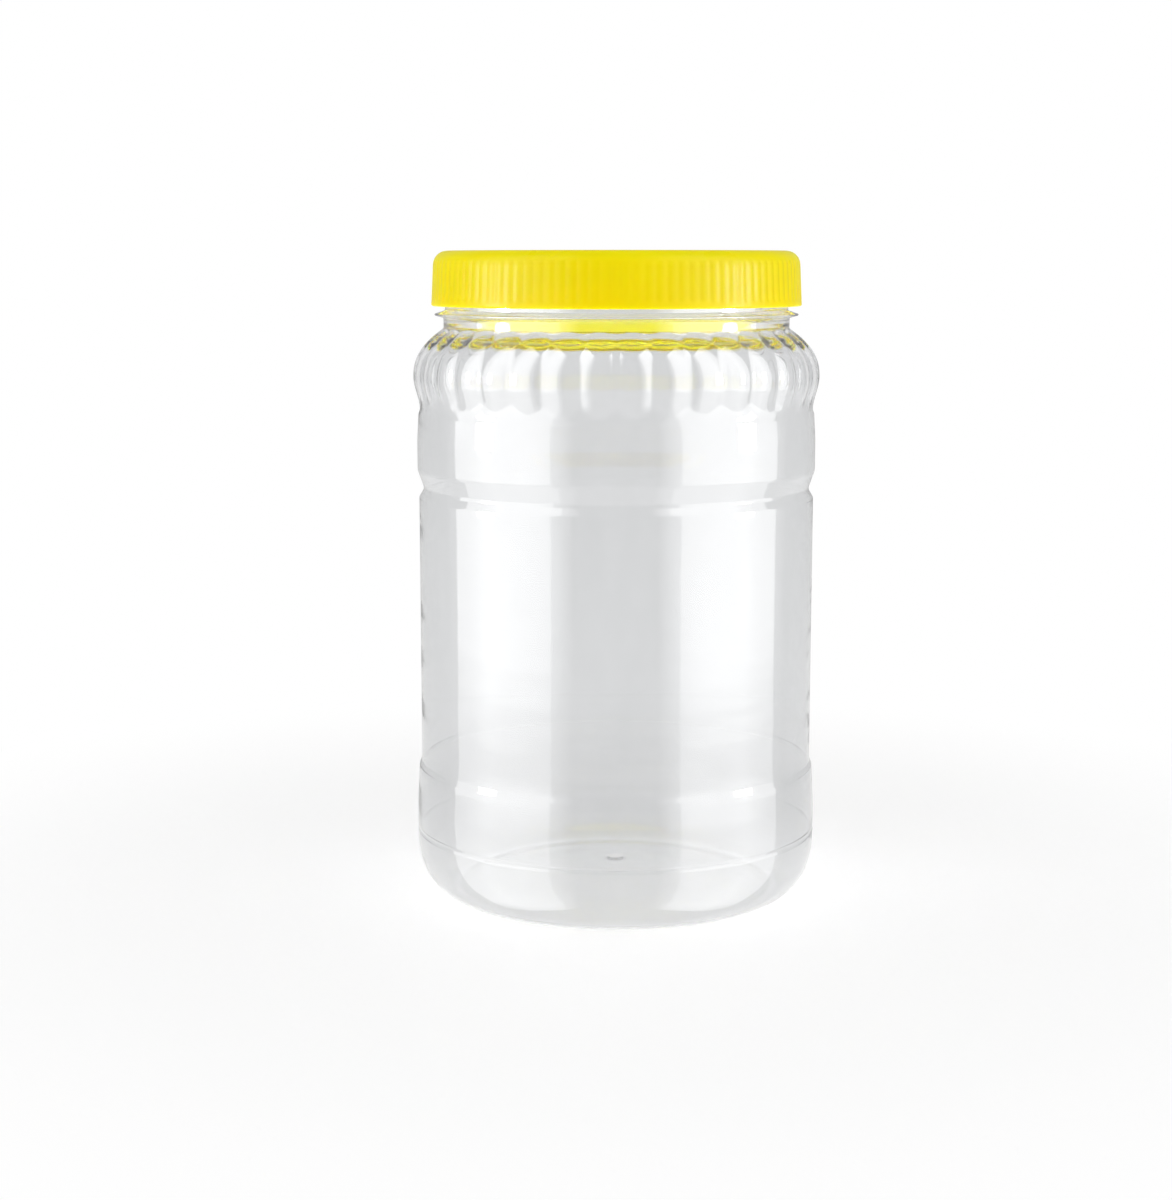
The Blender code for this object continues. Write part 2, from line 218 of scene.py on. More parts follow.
# Studio
FLOOR_RADIUS = 6.0
FLOOR_FADE_NEAR = 0.1
FLOOR_FADE_FAR = 0.35
FLOOR_GLOW = 0.55
FLOOR_COLOUR = (0.93, 0.93, 0.935)
AMBIENT = 0.55
FRONT_GLOSS = 0.3
FRONT_GLOSS_Y = -0.4
BACK_GLOSS = 0.45
BACK_GLOSS_Y = 0.6
DOWN_GLOSS = 1.0
DOWN_GLOSS_Z = -0.35
DOWN_GLOSS_END_Z = -0.05
LAMP_TURN = math.radians(66)
LAMP_DISTANCE = 0.95
LAMP_WIDTH = 1.3
LAMP_HEIGHT = 1.5
LAMP_MIDDLE_Z = 0.25
LAMP_POWER = 6.0
TOP_LAMP_POWER = 3.0
TOP_LAMP_SIZE = 1.2
TOP_LAMP_HEIGHT = 1.3
TOP_LAMP_FORWARD = 0.25
UNDER_LAMP_POWER = 0.5
UNDER_LAMP_SIZE = 0.13
UNDER_LAMP_DEPTH = 0.01

# Panels that only show in reflections, with (share, level) stops from front to back and from below up
MIRROR_DISTANCE = 0.9
MIRROR_WIDTH = 1.8
MIRROR_HEIGHT = 4.0
MIRROR_MIDDLE_Z = 0.5
MIRROR_RADIANCE = 6.0
MIRROR_ACROSS = ((0.04, 0.0), (0.116, 0.22), (0.205, 0.5), (0.22, 0.8), (0.29, 0.92), (0.385, 1.0),
                 (0.595, 0.97), (0.651, 0.82), (0.734, 0.64), (0.85, 0.48), (0.87, 0.08), (1.0, 0.0))
MIRROR_UP = ((0.0, 0.3), (0.1, 0.6), (0.34, 0.6), (0.36, 1.0), (0.95, 1.0), (1.0, 0.5))

# A bright strip in front of each panel, level with the lid
STRIP_TURN = math.radians(77)
STRIP_DISTANCE = 0.85
STRIP_WIDTH = 0.2
STRIP_HEIGHT = 0.3
STRIP_MIDDLE_Z = 0.25
STRIP_RADIANCE = 130.0
STRIP_FADE = ((0.0, 0.0), (0.5, 1.0), (1.0, 0.0))


def filleted(corners):
    """A line through (radius, height, fillet) corners, with each corner turned on an arc."""
    points = [np.array(corner[:2]) for corner in corners]
    line = [points[0]]
    for index in range(1, len(points) - 1):
        corner = points[index]
        fillet = corners[index][2]
        back = points[index - 1] - corner
        ahead = points[index + 1] - corner
        back /= np.linalg.norm(back)
        ahead /= np.linalg.norm(ahead)
        inside = math.acos(float(np.clip(back @ ahead, -1.0, 1.0)))
        if fillet <= 0.0 or inside > math.pi - STRAIGHT_ANGLE:
            line.append(corner)
            continue
        middle = (back + ahead) / np.linalg.norm(back + ahead)
        centre = corner + middle * fillet / math.sin(inside / 2)
        reach = fillet / math.tan(inside / 2)
        start = corner + back * reach - centre
        end = corner + ahead * reach - centre
        sweep = math.pi - inside
        steps = max(2, math.ceil(sweep / ARC_STEP))
        for step in range(steps + 1):
            share = step / steps
            mixed = start * math.sin(sweep * (1 - share)) + end * math.sin(sweep * share)
            line.append(centre + mixed / math.sin(sweep))
    line.append(points[-1])
    return np.array(line)


def spaced(line, low_z, high_z, widest):
    """The line with more points between two heights, none further apart there than widest."""
    points = [line[0]]
    for before, after in zip(line, line[1:]):
        length = float(np.linalg.norm(after - before))
        middle_z = (before[1] + after[1]) / 2
        count = max(1, math.ceil(length / widest)) if low_z <= middle_z <= high_z else 1
        for step in range(1, count + 1):
            points.append(before + (after - before) * step / count)
    return np.array(points)


def offset(line, distance):
    """The line moved to its right by a distance, without the loops that tight corners make."""
    along = np.gradient(line, axis=0)
    along /= np.linalg.norm(along, axis=1)[:, None]
    moved = line + np.stack([along[:, 1], -along[:, 0]], axis=1) * distance
    nearest = np.linalg.norm(moved[:, None] - line[None], axis=2).min(axis=1)
    return moved[nearest > distance * LOOP_SHARE]


def eased(points, passes):
    """A line with its corners cut off again and again, until it is a smooth curve."""
    line = np.array(points)
    for _ in range(passes):
        near = line[:-1] * 0.75 + line[1:] * 0.25
        far = line[:-1] * 0.25 + line[1:] * 0.75
        middle = np.stack([near, far], axis=1).reshape(-1, 2)
        line = np.vstack([line[:1], middle[1:-1], line[-1:]])
    return line


def smooth_step(value, low, high):
    """0 below low and 1 above high, with an easy curve between them."""
    share = np.clip((value - low) / (high - low), 0.0, 1.0)
    return share * share * (3 - 2 * share)


def soft_min(one, other, blend):
    """The smaller of two lengths, with the crossing rounded over the blend length."""
    share = np.clip(0.5 + (other - one) / (2 * blend), 0.0, 1.0)
    return other + (one - other) * share - blend * share * (1 - share)


def lathe(name, line, columns, relief=None):
    """A closed body turned about Z. The line runs from the axis back to the axis, its wall to the left.

    relief(radius, angle, height, row) gives each point's own radius.
    """
    angles = np.arange(columns) * math.tau / columns
    rows = len(line) - 2
    radius = np.repeat(line[1:-1, 0][:, None], columns, axis=1)
    height = np.repeat(line[1:-1, 1][:, None], columns, axis=1)
    angle = np.repeat(angles[None, :], rows, axis=0)
    row = np.repeat(np.arange(1, rows + 1)[:, None], columns, axis=1)
    if relief:
        radius = relief(radius, angle, height, row)
    points = np.stack([radius * np.cos(angle), radius * np.sin(angle), height], axis=2).reshape(-1, 3)
    points = np.vstack([points, [0.0, 0.0, line[0][1]], [0.0, 0.0, line[-1][1]]])
    first, last = rows * columns, rows * columns + 1
    faces = []
    for column in range(columns):
        beside = (column + 1) % columns
        faces.append((first, column, beside))
        for line_row in range(rows - 1):
            here = line_row * columns
            below = here + columns
            faces.append((here + column, below + column, below + beside, here + beside))
        edge = (rows - 1) * columns
        faces.append((last, edge + beside, edge + column))
    mesh = bpy.data.meshes.new(name)
    mesh.from_pydata(points.tolist(), [], faces)
    mesh.shade_smooth()
    item = bpy.data.objects.new(name, mesh)
    bpy.context.scene.collection.objects.link(item)
    return item


def shoulder_crest(height):
    """Radius of the lobes' crests: a power curve from the neck to the bulge, then an easy curve."""
    neck_radius = NECK_RADIUS + NECK_FOOT_FLARE
    above = np.clip((height - BULGE_Z) / (SHOULDER_TOP_Z - BULGE_Z), 0.0, 1.0)
    below = np.clip((BULGE_Z - height) / (BULGE_Z - SHOULDER_FOOT_Z), 0.0, 1.0)
    upper = BODY_RADIUS - (BODY_RADIUS - neck_radius) * above ** CREST_POWER
    lower = BODY_RADIUS - SHOULDER_FOOT_INSET * (1 - np.cos(math.pi * below)) / 2
    return np.where(height > BULGE_Z, upper, lower)


def flute_drop(angle, height):
    """How far the shoulder lies inside its crests: round lobes with a valley between each two."""
    floor = np.where(height > BULGE_Z, NECK_RADIUS + NECK_FOOT_FLARE, BODY_RADIUS - SHOULDER_FOOT_INSET)
    across = (angle / math.tau * FLUTE_COUNT) % 1.0 * 2 - 1
    room = np.maximum(shoulder_crest(height) - floor, 0.0)
    on_shoulder = (height > SHOULDER_FOOT_Z) & (height < SHOULDER_TOP_Z)
    drop = soft_min(FLUTE_DEPTH * across ** 2, room, FLUTE_END_BLEND)
    return np.where(on_shoulder, np.maximum(drop, 0.0), 0.0)


def ridge_height(angle, height, start_angle, start_z, rise):
    """How far a right-hand thread's rounded ridges stand out of the wall at each point."""
    total = np.zeros_like(height)
    turn_share = rise / THREAD_LEAD
    half_root = THREAD_ROOT_WIDTH / 2
    half_crest = THREAD_CREST_WIDTH / 2
    for start in range(THREAD_STARTS):
        turned = (angle / math.tau - start_angle / math.tau - start / THREAD_STARTS) % 1.0
        share = turned / turn_share
        middle_z = start_z + THREAD_LEAD * turned
        flank = 1 - smooth_step(np.abs(height - middle_z), half_crest * THREAD_FLAT_SHARE, half_root)
        ends = smooth_step(np.minimum(share, 1 - share), 0.0, THREAD_RAMP_SHARE)
        total = np.maximum(total, THREAD_DEPTH * flank * np.where(share < 1, ends, 0.0))
    return total


def neck_corners():
    """The outside of the neck, from the rim down past its ring to the shoulder."""
    tip_radius = NECK_RADIUS + RING_REACH
    tip_z = RING_TOP_Z - RING_TIP_DROP
    return [
        (NECK_RADIUS, RIM_Z, RIM_ROUND),
        (NECK_RADIUS, RING_TOP_Z, RING_TOP_FILLET),
        (tip_radius, tip_z + RING_TIP_HALF_HEIGHT, RING_TIP_FILLET),
        (tip_radius, tip_z - RING_TIP_HALF_HEIGHT, RING_TIP_FILLET),
        (NECK_RADIUS + NECK_FOOT_FLARE, RING_BOTTOM_Z, RING_BOTTOM_FILLET),
        (NECK_RADIUS + NECK_FOOT_FLARE, SHOULDER_TOP_Z, NECK_FOOT_FILLET),
    ]


def shoulder_corners():
    """The crest line of the shoulder, from the neck's foot down."""
    count = round((SHOULDER_TOP_Z - SHOULDER_FOOT_Z) / SHOULDER_ROW_STEP)
    heights = np.linspace(SHOULDER_TOP_Z, SHOULDER_FOOT_Z, count)[1:]
    return [(float(shoulder_crest(height)), float(height), 0.0) for height in heights]


def panel_corners():
    """The waist, the upper panel, the groove under it, the main panel and the ledge at its foot."""
    upper = BODY_RADIUS - UPPER_PANEL_INSET
    main = BODY_RADIUS - PANEL_INSET
    return [
        (upper - WAIST_INSET, SHOULDER_FOOT_Z - WAIST_DROP, WAIST_FILLET),
        (upper, SHOULDER_FOOT_Z - UPPER_PANEL_DROP, UPPER_PANEL_FILLET),
        (upper, GROOVE_Z + GROOVE_TOP_HEIGHT, GROOVE_TOP_FILLET),
        (main - GROOVE_DEPTH, GROOVE_Z + GROOVE_HALF_HEIGHT, GROOVE_FILLET),
        (main - GROOVE_DEPTH, GROOVE_Z - GROOVE_HALF_HEIGHT, GROOVE_FILLET),
        (main, GROOVE_Z - GROOVE_BOTTOM_HEIGHT, GROOVE_BOTTOM_FILLET),
        (main, LEDGE_TOP_Z, LEDGE_FILLET),
        (main + LEDGE_REACH, LEDGE_TOP_Z - LEDGE_HEIGHT, LEDGE_FILLET),
        (main + LEDGE_REACH + LEDGE_FOOT_REACH, LEDGE_FOOT_Z, LEDGE_FILLET),
    ]


def base_corners():
    """The band, the heel's faint crease, the round heel, the standing ring and the pushed-up base."""
    ring_radius = BODY_RADIUS - HEEL_WIDTH
    push_up_radius = ring_radius - STANDING_RING_WIDTH
    corners = []
    for share in BAND_SHARES:
        inset = (PANEL_INSET - LEDGE_REACH) * (1 - share) ** 2
        height = LEDGE_FOOT_Z + (BAND_TOP_Z - LEDGE_FOOT_Z) * share
        corners.append((BODY_RADIUS - inset, height, 0.0))
    corners.append((BODY_RADIUS, HEEL_TOP_Z + CREASE_TOP_HEIGHT, CREASE_FILLET))
    corners.append((BODY_RADIUS - CREASE_DEPTH, HEEL_TOP_Z + CREASE_HEIGHT, CREASE_FILLET))
    corners.append((BODY_RADIUS, HEEL_TOP_Z + CREASE_BOTTOM_HEIGHT, CREASE_FILLET))
    for step in range(1, HEEL_STEPS):
        turn = math.pi / 2 * step / HEEL_STEPS
        radius = ring_radius + HEEL_WIDTH * math.cos(turn)
        corners.append((radius, HEEL_TOP_Z * (1 - math.sin(turn)), 0.0))
    corners.append((ring_radius, 0.0, 0.0))
    corners.append((push_up_radius, 0.0, PUSH_UP_FILLET))
    for share in PUSH_UP_SHARES:
        corners.append((push_up_radius * share, PUSH_UP_HEIGHT * (1 - share ** 2), 0.0))
    corners.append((GATE_RADIUS, PUSH_UP_HEIGHT, GATE_FILLET))
    corners.append((GATE_RADIUS * GATE_FLOOR_SHARE, PUSH_UP_HEIGHT - GATE_HEIGHT, GATE_FLOOR_FILLET))
    corners.append((0.0, PUSH_UP_HEIGHT - GATE_HEIGHT, 0.0))
    return corners


def near_neck(height):
    """1 at the shoulder's top, where the blown wall is still thick, and 0 further down."""
    return smooth_step(height, SHOULDER_TOP_Z - THICK_WALL_HEIGHT, SHOULDER_TOP_Z)


def jar_line():
    """The jar's whole outline, up its inside and down its outside, and where the outside starts."""
    rim_middle = (NECK_RADIUS - NECK_WALL / 2, RIM_Z, 0.0)
    neck = filleted([rim_middle] + neck_corners() + shoulder_corners()[:1])
    body = filleted([(NECK_RADIUS + NECK_FOOT_FLARE, SHOULDER_TOP_Z, 0.0)] + shoulder_corners()
                    + panel_corners() + base_corners())
    outside = np.vstack([neck[:-1], body[1:]])
    wall = offset(spaced(body, BAND_TOP_Z, SHOULDER_FOOT_Z, PANEL_ROW_STEP), BODY_WALL)
    wall = wall[(wall[:, 0] > GATE_RADIUS) & (wall[:, 1] < BULGE_Z)]
    face = [(NECK_RADIUS + reach, SHOULDER_TOP_Z + height) for height, reach in NECK_INNER_FACE]
    face = [wall[0]] + face
    bore_edge = (NECK_RADIUS - NECK_WALL, RIM_Z, RIM_INNER_FILLET)
    mouth = filleted([(*face[-1], 0.0), bore_edge, rim_middle])
    inside = np.vstack([[0.0, PUSH_UP_HEIGHT + BODY_WALL], wall[:0:-1], eased(face, 2), mouth[1:-1]])
    outside = spaced(outside, RING_TOP_Z, RIM_Z, THREAD_ROW_STEP)
    outside = spaced(outside, BAND_TOP_Z, SHOULDER_FOOT_Z, PANEL_ROW_STEP)
    return np.vstack([inside, outside]), len(inside)


def make_jar():
    """The clear jar. Its wall has lobes on both faces, and its neck carries the thread outside."""
    line, first_outside = jar_line()

    def relief(radius, angle, height, row):
        outside = row >= first_outside
        drop = flute_drop(angle, height) * np.where(outside, 1.0, 1 - near_neck(height))
        ridge = ridge_height(angle, height, 0.0, THREAD_FOOT_Z, THREAD_RISE)
        on_neck = outside & (height > RING_TOP_Z) & (height < RIM_Z - RIM_ROUND)
        return radius - drop + np.where(on_neck, ridge, 0.0)

    return lathe("clear_jar", line, JAR_COLUMNS, relief)


def lid_line():
    """The lid's outline, over its top, down the skirt, up the bore and back to the axis."""
    return filleted([
        (0.0, LID_TOP_Z, 0.0),
        (LID_SKIRT_RADIUS - LID_DRAFT, LID_TOP_Z, LID_CORNER_RADIUS),
        (LID_BAND_RADIUS, LID_BOTTOM_Z, LID_FOOT_FILLET),
        (LID_BORE_RADIUS, LID_BOTTOM_Z, LID_FOOT_FILLET),
        (LID_BORE_RADIUS, LID_TOP_Z - LID_TOP_THICKNESS, LID_BORE_FILLET),
        (0.0, LID_TOP_Z - LID_TOP_THICKNESS, 0.0),
    ])


def make_lid():
    """The screw lid, with slim grooves between its ribs and the thread's ridges in its bore."""
    corner_z = LID_TOP_Z - LID_CORNER_RADIUS / 2
    line = spaced(lid_line(), LID_BOTTOM_Z + LID_ROW_MARGIN, corner_z, LID_ROW_STEP)
    band_top_z = LID_BOTTOM_Z + LID_BAND_HEIGHT
    late = THREAD_RISE * (1 - LID_THREAD_SHARE) / 2
    start_angle = math.tau * late / THREAD_LEAD
    start_z = THREAD_FOOT_Z + late - LID_THREAD_DROP

    def relief(radius, angle, height, row):
        across = np.abs((angle / math.tau * RIB_COUNT) % 1.0 - 0.5)
        groove = RIB_GROOVE_DEPTH * (0.5 + 0.5 * np.cos(math.tau * across)) ** RIB_GROOVE_POWER
        upper_end = 1 - smooth_step(height, corner_z - RIB_END_HEIGHT, corner_z)
        lower_end = smooth_step(height, band_top_z - RIB_END_HEIGHT, band_top_z)
        outside = radius > LID_BORE_RADIUS + LID_WALL_MARGIN
        in_bore = np.abs(radius - LID_BORE_RADIUS) < LID_BORE_MARGIN
        ridge = ridge_height(angle, height, start_angle, start_z, THREAD_RISE * LID_THREAD_SHARE)
        skirt = radius - np.where(outside, groove * upper_end * lower_end, 0.0)
        return skirt - np.where(in_bore, ridge, 0.0)

    return lathe("ribbed_lid", line, LID_COLUMNS, relief)


def make_seal():
    """The sealing disc, with a shallow ring pressed in its underside by the rim."""
    radius = seal_high.x
    press_radius = NECK_RADIUS - NECK_WALL / 2
    press_z = seal_low.z + PRESS_DEPTH
    line = filleted([
        (0.0, seal_high.z, 0.0),
        (radius, seal_high.z, SEAL_EDGE_FILLET),
        (radius, seal_low.z, SEAL_EDGE_FILLET),
        (press_radius + PRESS_HALF_WIDTH, seal_low.z, PRESS_FILLET),
        (press_radius + PRESS_FLOOR_HALF_WIDTH, press_z, PRESS_FILLET),
        (press_radius - PRESS_FLOOR_HALF_WIDTH, press_z, PRESS_FILLET),
        (press_radius - PRESS_HALF_WIDTH, seal_low.z, PRESS_FILLET),
        (0.0, seal_low.z, 0.0),
    ])
    return lathe("sealing_disc", line, SEAL_COLUMNS)


def new_material(name):
    """A new node material, with its tree and its Principled shader."""
    material = bpy.data.materials.new(name)
    material.use_nodes = True
    tree = material.node_tree
    return material, tree, tree.nodes["Principled BSDF"]


def add_node(tree, kind, links=None, **settings):
    """A node with its settings, and its inputs set to a value or linked to an output."""
    node = tree.nodes.new(kind)
    for key, value in settings.items():
        setattr(node, key, value)
    for socket, value in (links or {}).items():
        if isinstance(value, bpy.types.NodeSocket):
            tree.links.new(value, node.inputs[socket])
        else:
            node.inputs[socket].default_value = value
    return node


def noise(tree, place, scale, detail=3.0, roughness=0.5):
    """A noise pattern over a place, as its factor."""
    node = add_node(tree, "ShaderNodeTexNoise",
                    {"Vector": place, "Scale": scale, "Detail": detail, "Roughness": roughness})
    return node.outputs["Fac"]


def ranged(tree, value, low, high):
    """A noise pattern spread over a range of values."""
    node = add_node(tree, "ShaderNodeMapRange",
                    {"Value": value, "From Min": PATTERN_LOW, "From Max": PATTERN_HIGH,
                     "To Min": low, "To Max": high})
    return node.outputs["Result"]


def two_tone(tree, value, one, other):
    """A colour between two, by a pattern."""
    node = tree.nodes.new("ShaderNodeValToRGB")
    node.color_ramp.elements[0].position = PATTERN_LOW
    node.color_ramp.elements[0].color = (*one, 1.0)
    node.color_ramp.elements[1].position = PATTERN_HIGH
    node.color_ramp.elements[1].color = (*other, 1.0)
    tree.links.new(value, node.inputs["Fac"])
    return node.outputs["Color"]


def stretched_place(tree, scale):
    """The object's own coordinates in metres, stretched by a scale along each axis."""
    place = tree.nodes.new("ShaderNodeTexCoord").outputs["Object"]
    return add_node(tree, "ShaderNodeMapping", {"Vector": place, "Scale": scale}).outputs["Vector"]


def bumped(tree, height, distance, strength=1.0):
    """A normal from a height pattern."""
    node = add_node(tree, "ShaderNodeBump",
                    {"Height": height, "Distance": distance, "Strength": strength})
    return node.outputs["Normal"]


def clear_plastic():
    """Blown clear plastic: polished, faintly smoky, with the soft ripples of a blown wall."""
    material, tree, shader = new_material("clear_plastic")
    ripple_place = stretched_place(tree, (18.0, 18.0, 90.0))
    ripple = noise(tree, ripple_place, 1.0, 2.0, 0.4)
    haze = noise(tree, stretched_place(tree, (60.0, 60.0, 20.0)), 1.0, 2.0, 0.5)
    smoke = two_tone(tree, haze, (0.815, 0.82, 0.825), (0.835, 0.84, 0.845))
    tree.links.new(smoke, shader.inputs["Base Color"])
    tree.links.new(ranged(tree, haze, 0.015, 0.05), shader.inputs["Roughness"])
    tree.links.new(bumped(tree, ripple, 0.0006, 0.3), shader.inputs["Normal"])
    shader.inputs["Transmission Weight"].default_value = 1.0
    shader.inputs["IOR"].default_value = 1.57
    path = tree.nodes.new("ShaderNodeLightPath")
    passed = add_node(tree, "ShaderNodeBsdfTransparent", {"Color": (0.94, 0.94, 0.945, 1.0)})
    mix = add_node(tree, "ShaderNodeMixShader",
                   {"Fac": path.outputs["Is Shadow Ray"], 1: shader.outputs["BSDF"],
                    2: passed.outputs["BSDF"]})
    tree.links.new(mix.outputs["Shader"], tree.nodes["Material Output"].inputs["Surface"])
    return material


def yellow_plastic():
    """Moulded yellow plastic with a satin surface."""
    material, tree, shader = new_material("yellow_plastic")
    place = stretched_place(tree, (1.0, 1.0, 1.0))
    cloud = noise(tree, place, 45.0, 3.0, 0.5)
    grain = noise(tree, place, 2600.0, 2.0, 0.6)
    yellow = two_tone(tree, cloud, (0.85, 0.705, 0.001), (0.87, 0.73, 0.002))
    tree.links.new(yellow, shader.inputs["Base Color"])
    tree.links.new(ranged(tree, cloud, 0.27, 0.34), shader.inputs["Roughness"])
    tree.links.new(bumped(tree, grain, 0.00002, 0.35), shader.inputs["Normal"])
    shader.inputs["Specular IOR Level"].default_value = 0.045
    shader.inputs["Subsurface Weight"].default_value = 0.9
    shader.inputs["Subsurface Radius"].default_value = (1.0, 0.8, 0.05)
    shader.inputs["Subsurface Scale"].default_value = 0.003
    return material


def soft_yellow_plastic():
    """The softer yellow plastic of the sealing disc, which lets some light through."""
    material, tree, shader = new_material("soft_yellow_plastic")
    place = stretched_place(tree, (1.0, 1.0, 1.0))
    cloud = noise(tree, place, 60.0, 3.0, 0.5)
    grain = noise(tree, place, 1800.0, 2.0, 0.6)
    yellow = two_tone(tree, cloud, (0.90, 0.74, 0.006), (0.93, 0.78, 0.012))
    tree.links.new(yellow, shader.inputs["Base Color"])
    tree.links.new(ranged(tree, cloud, 0.42, 0.55), shader.inputs["Roughness"])
    tree.links.new(bumped(tree, grain, 0.00003, 0.4), shader.inputs["Normal"])
    shader.inputs["Subsurface Weight"].default_value = 1.0
    shader.inputs["Subsurface Radius"].default_value = (1.0, 0.8, 0.05)
    shader.inputs["Subsurface Scale"].default_value = 0.003
    return material


def dress(item, material, body, node):
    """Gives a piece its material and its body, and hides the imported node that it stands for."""
    item.data.materials.append(material)
    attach(item, body)
    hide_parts(node)


def make_world():
    """Even soft light. The background is white, and its mirror image is darker in front of the jar."""
    world = bpy.data.worlds.new("studio")
    bpy.context.scene.world = world
    world.use_nodes = True
    tree = world.node_tree
    tree.nodes.clear()
    path = tree.nodes.new("ShaderNodeLightPath")
    place = tree.nodes.new("ShaderNodeTexCoord").outputs["Generated"]
    direction = add_node(tree, "ShaderNodeSeparateXYZ", {"Vector": place})
    mirrored = add_node(tree, "ShaderNodeMapRange",
                        {"Value": direction.outputs["Y"], "From Min": FRONT_GLOSS_Y,
                         "From Max": BACK_GLOSS_Y, "To Min": FRONT_GLOSS, "To Max": BACK_GLOSS},
                        interpolation_type="SMOOTHSTEP").outputs["Result"]
    mirrored = add_node(tree, "ShaderNodeMapRange",
                        {"Value": direction.outputs["Z"], "From Min": DOWN_GLOSS_Z,
                         "From Max": DOWN_GLOSS_END_Z, "To Min": DOWN_GLOSS, "To Max": mirrored},
                        interpolation_type="SMOOTHSTEP").outputs["Result"]
    seen = add_node(tree, "ShaderNodeMath",
                    {0: path.outputs["Is Camera Ray"], 1: path.outputs["Is Transmission Ray"]},
                    operation="MAXIMUM").outputs["Value"]
    level = add_node(tree, "ShaderNodeMix",
                     {"Factor": path.outputs["Is Glossy Ray"], "A": AMBIENT, "B": mirrored})
    level = add_node(tree, "ShaderNodeMix", {"Factor": seen, "A": level.outputs["Result"], "B": 1.0})
    sky = add_node(tree, "ShaderNodeBackground",
                   {"Color": (1.0, 1.0, 1.0, 1.0), "Strength": level.outputs["Result"]})
    output = tree.nodes.new("ShaderNodeOutputWorld")
    tree.links.new(sky.outputs["Background"], output.inputs["Surface"])


def make_floor():
    """A pale round floor under the jar that turns into plain white further away."""
    bpy.ops.mesh.primitive_circle_add(vertices=96, radius=FLOOR_RADIUS, fill_type="NGON")
    floor = bpy.context.object
    floor.name = "floor"
    material, tree, shader = new_material("pale_floor")
    tree.nodes.remove(shader)
    matt = add_node(tree, "ShaderNodeBsdfDiffuse", {"Color": (*FLOOR_COLOUR, 1.0)})
    place = tree.nodes.new("ShaderNodeTexCoord").outputs["Object"]
    away = add_node(tree, "ShaderNodeVectorMath", {0: place}, operation="LENGTH").outputs["Value"]
    fade = add_node(tree, "ShaderNodeMapRange",
                    {"Value": away, "From Min": FLOOR_FADE_NEAR, "From Max": FLOOR_FADE_FAR,
                     "To Min": FLOOR_GLOW, "To Max": 1.0},
                    interpolation_type="SMOOTHSTEP").outputs["Result"]
    path = tree.nodes.new("ShaderNodeLightPath")
    seen = add_node(tree, "ShaderNodeMath",
                    {0: path.outputs["Is Camera Ray"], 1: path.outputs["Is Transmission Ray"]},
                    operation="MAXIMUM").outputs["Value"]
    factor = add_node(tree, "ShaderNodeMath", {0: fade, 1: seen}, operation="MULTIPLY").outputs["Value"]
    white = add_node(tree, "ShaderNodeEmission", {"Color": (1.0, 1.0, 1.0, 1.0), "Strength": 1.0})
    mix = add_node(tree, "ShaderNodeMixShader",
                   {"Fac": factor, 1: matt.outputs["BSDF"], 2: white.outputs["Emission"]})
    tree.links.new(mix.outputs["Shader"], tree.nodes["Material Output"].inputs["Surface"])
    floor.data.materials.append(material)
    floor.visible_glossy = False
    floor.visible_shadow = False


def aim_lamp(name, data, place, target):
    """A lamp that points from its place at a target, and doesn't show by itself."""
    lamp = bpy.data.objects.new(name, data)
    bpy.context.scene.collection.objects.link(lamp)
    lamp.location = place
    aim = np.array(target) - np.array(place)
    lamp.rotation_euler = (math.pi / 2 + math.atan2(aim[2], math.hypot(aim[0], aim[1])), 0.0,
                           math.atan2(-aim[0], aim[1]))
    lamp.visible_camera = False
    lamp.visible_transmission = False
    return lamp


def area_light(name, width, height, power):
    """A rectangular light."""
    data = bpy.data.lights.new(name, "AREA")
    data.shape = "RECTANGLE"
    data.size = width
    data.size_y = height
    data.energy = power
    return data


def make_softbox(name, place, target, width, height, power):
    """A soft light that shows in no reflection."""
    lamp = aim_lamp(name, area_light(name, width, height, power), place, target)
    lamp.visible_glossy = False


def ramp(tree, value, stops):
    """A level that follows (position, level) stops along a value."""
    node = tree.nodes.new("ShaderNodeValToRGB")
    elements = node.color_ramp.elements
    elements[0].position = stops[0][0]
    elements[-1].position = stops[-1][0]
    for position, _ in stops[1:-1]:
        elements.new(position)
    for element, (position, level) in zip(elements, stops):
        element.color = (level, level, level, 1.0)
    tree.links.new(value, node.inputs["Fac"])
    return node.outputs["Color"]


def beside(side, turn, distance, height):
    """A place on one side of the jar, turned away from its front."""
    return (side * distance * math.sin(turn), -distance * math.cos(turn), height)


def make_reflection(name, place, size, radiance, across_stops, up_stops):
    """A panel that faces the jar and only shows in reflections, with its level along and up it."""
    width, height = size
    data = area_light(name, width, height, radiance * math.pi * width * height)
    data.use_nodes = True
    tree = data.node_tree
    spot = tree.nodes.new("ShaderNodeNewGeometry").outputs["Parametric"]
    axes = add_node(tree, "ShaderNodeSeparateXYZ", {"Vector": spot})
    along = axes.outputs["X"]
    if place[0] < 0:
        along = add_node(tree, "ShaderNodeMath", {0: 1.0, 1: along},
                         operation="SUBTRACT").outputs["Value"]
    level = add_node(tree, "ShaderNodeMath",
                     {0: ramp(tree, along, across_stops), 1: ramp(tree, axes.outputs["Y"], up_stops)},
                     operation="MULTIPLY")
    tree.links.new(level.outputs["Value"], tree.nodes["Emission"].inputs["Strength"])
    lamp = aim_lamp(name, data, place, (0.0, 0.0, place[2]))
    lamp.visible_diffuse = False


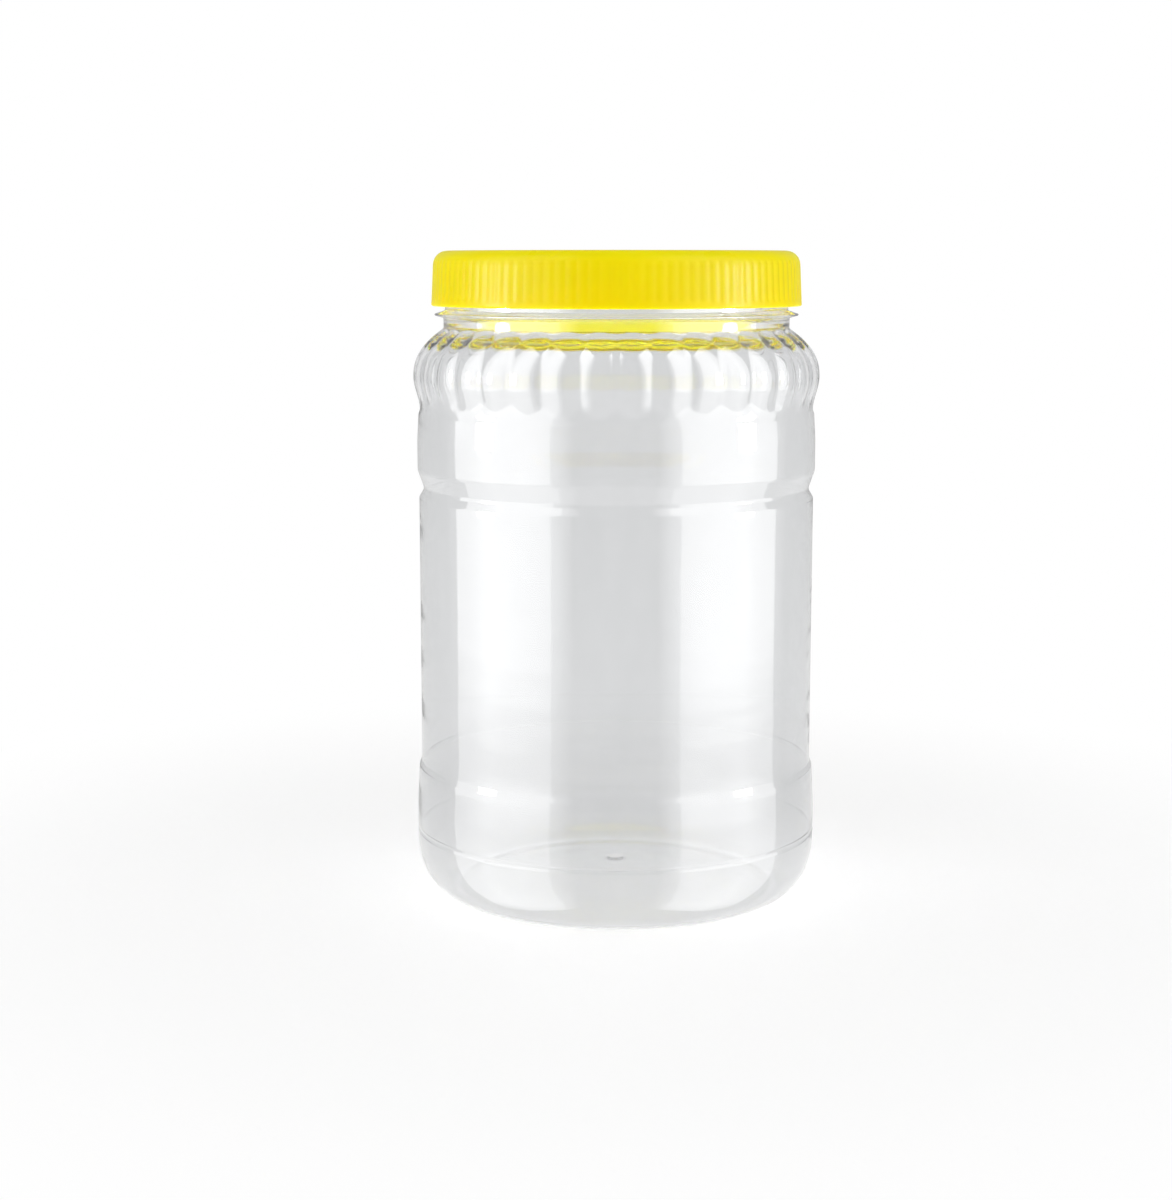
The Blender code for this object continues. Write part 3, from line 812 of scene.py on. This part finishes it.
def make_lights():
    """Softboxes beside, over and under the jar, and the panels and strips that it reflects."""
    for name, side in (("left", -1), ("right", 1)):
        make_softbox(name + "_softbox", beside(side, LAMP_TURN, LAMP_DISTANCE, LAMP_MIDDLE_Z),
                     (0.0, 0.0, LAMP_MIDDLE_Z), LAMP_WIDTH, LAMP_HEIGHT, LAMP_POWER)
        make_reflection(name + "_reflection", beside(side, LAMP_TURN, MIRROR_DISTANCE, MIRROR_MIDDLE_Z),
                        (MIRROR_WIDTH, MIRROR_HEIGHT), MIRROR_RADIANCE, MIRROR_ACROSS, MIRROR_UP)
        make_reflection(name + "_strip", beside(side, STRIP_TURN, STRIP_DISTANCE, STRIP_MIDDLE_Z),
                        (STRIP_WIDTH, STRIP_HEIGHT), STRIP_RADIANCE, STRIP_FADE, STRIP_FADE)
    make_softbox("top_softbox", (0.0, -TOP_LAMP_FORWARD, TOP_LAMP_HEIGHT), (0.0, 0.0, 0.0),
                 TOP_LAMP_SIZE, TOP_LAMP_SIZE, TOP_LAMP_POWER)
    make_softbox("under_softbox", (0.0, 0.0, -UNDER_LAMP_DEPTH), (0.0, 0.0, 0.0),
                 UNDER_LAMP_SIZE, UNDER_LAMP_SIZE, UNDER_LAMP_POWER)


def allow_bounces():
    """Enough bounces for light that crosses the jar's two walls and is mirrored between its lobes."""
    cycles = bpy.context.scene.cycles
    cycles.max_bounces = 40
    cycles.glossy_bounces = 24
    cycles.transmission_bounces = 32


def make_camera():
    """The photograph's view: level with the lid and slightly down, the jar a little to the right."""
    data = bpy.data.cameras.new("photo_camera")
    data.sensor_width = SENSOR_SIZE
    data.lens = FOCAL_LENGTH_PX / PHOTO_HEIGHT * SENSOR_SIZE
    camera = bpy.data.objects.new("photo_camera", data)
    bpy.context.scene.collection.objects.link(camera)
    turn = math.atan((JAR_AXIS_PX - PHOTO_WIDTH / 2) / FOCAL_LENGTH_PX)
    camera.location = (0.0, -CAMERA_DISTANCE, CAMERA_HEIGHT)
    camera.rotation_euler = (math.pi / 2 - CAMERA_PITCH, 0.0, turn)
    bpy.context.scene.camera = camera


make_camera()
dress(make_jar(), clear_plastic(), "jar", "jar_body")
dress(make_lid(), yellow_plastic(), "lid", "screw_lid")
dress(make_seal(), soft_yellow_plastic(), "seal", "seal_liner")
make_world()
make_floor()
make_lights()
allow_bounces()
bpy.context.scene.view_settings.view_transform = "Standard"
